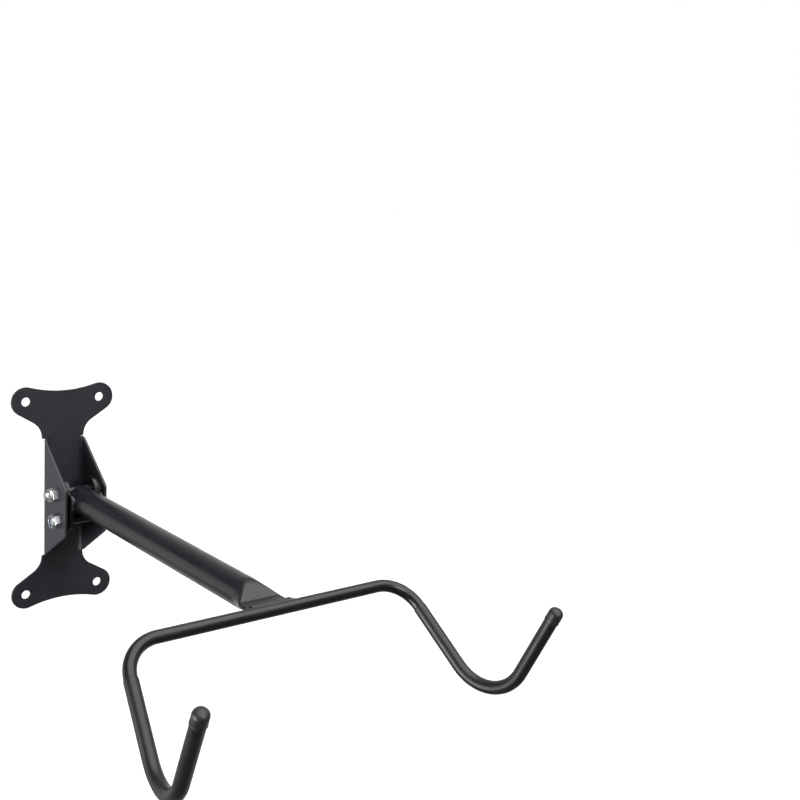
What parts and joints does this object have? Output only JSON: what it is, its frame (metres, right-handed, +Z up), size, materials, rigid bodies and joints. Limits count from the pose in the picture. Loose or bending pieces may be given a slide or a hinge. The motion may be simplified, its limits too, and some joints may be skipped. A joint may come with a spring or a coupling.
{
  "type": "bicycle wall rack",
  "caption": "Folding wall rack: a bone-shaped steel wall bracket carries a round arm on a pivot bolt, and the arm ends in a bent rod with open hooks for a bicycle's top tube.",
  "frame": {"origin": "centre of the four wall holes, on the wall", "axes": "+X along the wall to the right, +Y into the wall, +Z up; the arm points along -Y"},
  "size_m": [0.3122, 0.5369, 0.226],
  "materials": {
    "bracket_paint": "satin powder coat",
    "arm_paint": "satin powder coat",
    "zinc": "bright zinc plate",
    "nut_nylon": "matte",
    "washer_nylon": "matte",
    "hook_coating": "smooth soft coating",
    "cap_vinyl": "satin vinyl"
  },
  "bodies": {
    "wall": {"wall_bracket": "bracket_paint", "pivot_bolt": "zinc", "stop_bolt": "zinc", "lock_nuts": "zinc", "nut_rings": "nut_nylon", "thrust_washers": "washer_nylon", "stop_spacer": "arm_paint"},
    "arm": {"arm_tube": "arm_paint", "root_lug_left": "arm_paint", "root_lug_right": "arm_paint", "root_welds_left": "arm_paint", "root_welds_right": "arm_paint", "pivot_sleeve": "arm_paint", "hook_rod": "arm_paint", "crossbar_weld_top": "arm_paint", "crossbar_weld_bottom": "arm_paint", "crossbar_weld_left": "arm_paint", "crossbar_weld_right": "arm_paint", "hook_coat_left": "hook_coating", "hook_coat_right": "hook_coating", "tip_cap_left": "cap_vinyl", "tip_cap_right": "cap_vinyl"}
  },
  "joints": [
    {"name": "arm_fold", "type": "hinge", "parent": "wall", "child": "arm", "pos_m": [0, -0.036, 0.012], "axis": [-1, 0, 0], "range_deg": [0, 90]}
  ]
}
